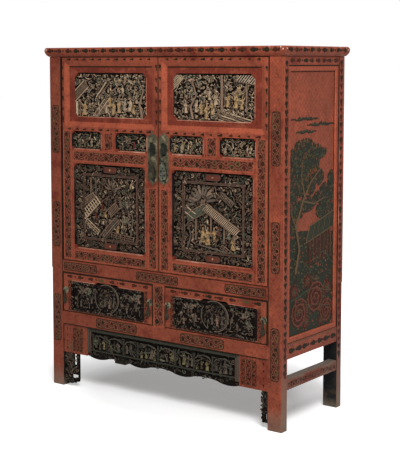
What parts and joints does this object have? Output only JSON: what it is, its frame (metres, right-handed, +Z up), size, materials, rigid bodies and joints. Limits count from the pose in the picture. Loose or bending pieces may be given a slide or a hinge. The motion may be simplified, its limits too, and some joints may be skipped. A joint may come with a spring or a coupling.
{
  "type": "lacquered cabinet",
  "caption": "Tall red lacquered cabinet with a pair of carved doors over side-by-side drawers, a moulded top, carved apron, framed painted sides and drop pulls.",
  "frame": {"origin": "centre of the footprint of the top, on the floor", "axes": "+Z up, +X to the right seen from the front, +Y from the front to the back; the doors face -Y"},
  "size_m": [1.232, 0.487, 1.478],
  "materials": {
    "red_lacquer": "worn red lacquer on wood with dark painted ornament",
    "carved_gilt_wood": "dark lacquered carving with rubbed gilding",
    "bare_wood": "plain planed softwood",
    "patina_brass": "brass with green-grey patina"
  },
  "bodies": {
    "case": {"front_left_post": "red_lacquer", "front_right_post": "red_lacquer", "rear_left_post": "red_lacquer", "rear_right_post": "red_lacquer", "top_front_member": "red_lacquer", "top_rear_member": "red_lacquer", "top_end_members": "red_lacquer", "top_panel": "red_lacquer", "top_battens": "bare_wood", "front_middle_rail": "red_lacquer", "front_bottom_rail": "red_lacquer", "drawer_divider": "red_lacquer", "left_side_rails": "red_lacquer", "right_side_rails": "red_lacquer", "left_side_panel": "red_lacquer", "right_side_panel": "red_lacquer", "side_mouldings": "red_lacquer", "side_stretchers": "red_lacquer", "rear_rails": "bare_wood", "back_boards": "bare_wood", "cupboard_floor": "bare_wood", "bottom_board": "bare_wood", "shelf": "bare_wood", "shelf_battens": "bare_wood", "drawer_runners": "bare_wood", "drawer_guides": "bare_wood", "door_stops": "bare_wood", "apron_carving": "carved_gilt_wood", "apron_left_end": "red_lacquer", "apron_right_end": "red_lacquer", "left_foot_bracket": "carved_gilt_wood", "right_foot_bracket": "carved_gilt_wood"},
    "left_door": {"left_door_hinge_stile": "red_lacquer", "left_door_meeting_stile": "red_lacquer", "left_door_rails": "red_lacquer", "left_door_upper_carving": "carved_gilt_wood", "left_door_small_carvings": "carved_gilt_wood", "left_door_lower_carving": "carved_gilt_wood", "left_door_plate": "patina_brass"},
    "left_door_drop": {"left_door_pull": "patina_brass"},
    "left_drawer": {"left_drawer_front": "red_lacquer", "left_drawer_carving": "carved_gilt_wood", "left_drawer_box": "bare_wood", "left_drawer_pull_plates": "patina_brass"},
    "left_drawer_left_drop": {"left_drawer_left_pull": "patina_brass"},
    "left_drawer_right_drop": {"left_drawer_right_pull": "patina_brass"},
    "right_door": {"right_door_hinge_stile": "red_lacquer", "right_door_meeting_stile": "red_lacquer", "right_door_rails": "red_lacquer", "right_door_upper_carving": "carved_gilt_wood", "right_door_small_carvings": "carved_gilt_wood", "right_door_lower_carving": "carved_gilt_wood", "right_door_plate": "patina_brass"},
    "right_door_drop": {"right_door_pull": "patina_brass"},
    "right_drawer": {"right_drawer_front": "red_lacquer", "right_drawer_carving": "carved_gilt_wood", "right_drawer_box": "bare_wood", "right_drawer_pull_plates": "patina_brass"},
    "right_drawer_left_drop": {"right_drawer_left_pull": "patina_brass"},
    "right_drawer_right_drop": {"right_drawer_right_pull": "patina_brass"}
  },
  "joints": [
    {"name": "left_door_swing", "type": "hinge", "parent": "case", "child": "left_door", "pos_m": [-0.5175, -0.2145, 1], "axis": [0, 0, -1], "range_deg": [0, 105]},
    {"name": "left_drawer_slide", "type": "slide", "parent": "case", "child": "left_drawer", "axis": [0, -1, 0], "range_m": [0, 0.28]},
    {"name": "left_door_pull_swing", "type": "hinge", "parent": "left_door", "child": "left_door_drop", "pos_m": [-0.029, -0.2355, 1.008], "axis": [-1, 0, 0], "range_deg": [-4, 90]},
    {"name": "left_drawer_left_pull_swing", "type": "hinge", "parent": "left_drawer", "child": "left_drawer_left_drop", "pos_m": [-0.517, -0.2355, 0.428], "axis": [-1, 0, 0], "range_deg": [-4, 90]},
    {"name": "left_drawer_right_pull_swing", "type": "hinge", "parent": "left_drawer", "child": "left_drawer_right_drop", "pos_m": [-0.048, -0.2355, 0.428], "axis": [-1, 0, 0], "range_deg": [-4, 90]},
    {"name": "right_door_swing", "type": "hinge", "parent": "case", "child": "right_door", "pos_m": [0.5175, -0.2145, 1], "axis": [0, 0, 1], "range_deg": [0, 105]},
    {"name": "right_drawer_slide", "type": "slide", "parent": "case", "child": "right_drawer", "axis": [0, -1, 0], "range_m": [0, 0.28]},
    {"name": "right_door_pull_swing", "type": "hinge", "parent": "right_door", "child": "right_door_drop", "pos_m": [0.029, -0.2355, 1.008], "axis": [-1, 0, 0], "range_deg": [-4, 90]},
    {"name": "right_drawer_left_pull_swing", "type": "hinge", "parent": "right_drawer", "child": "right_drawer_left_drop", "pos_m": [0.048, -0.2355, 0.428], "axis": [-1, 0, 0], "range_deg": [-4, 90]},
    {"name": "right_drawer_right_pull_swing", "type": "hinge", "parent": "right_drawer", "child": "right_drawer_right_drop", "pos_m": [0.517, -0.2355, 0.428], "axis": [-1, 0, 0], "range_deg": [-4, 90]}
  ]
}
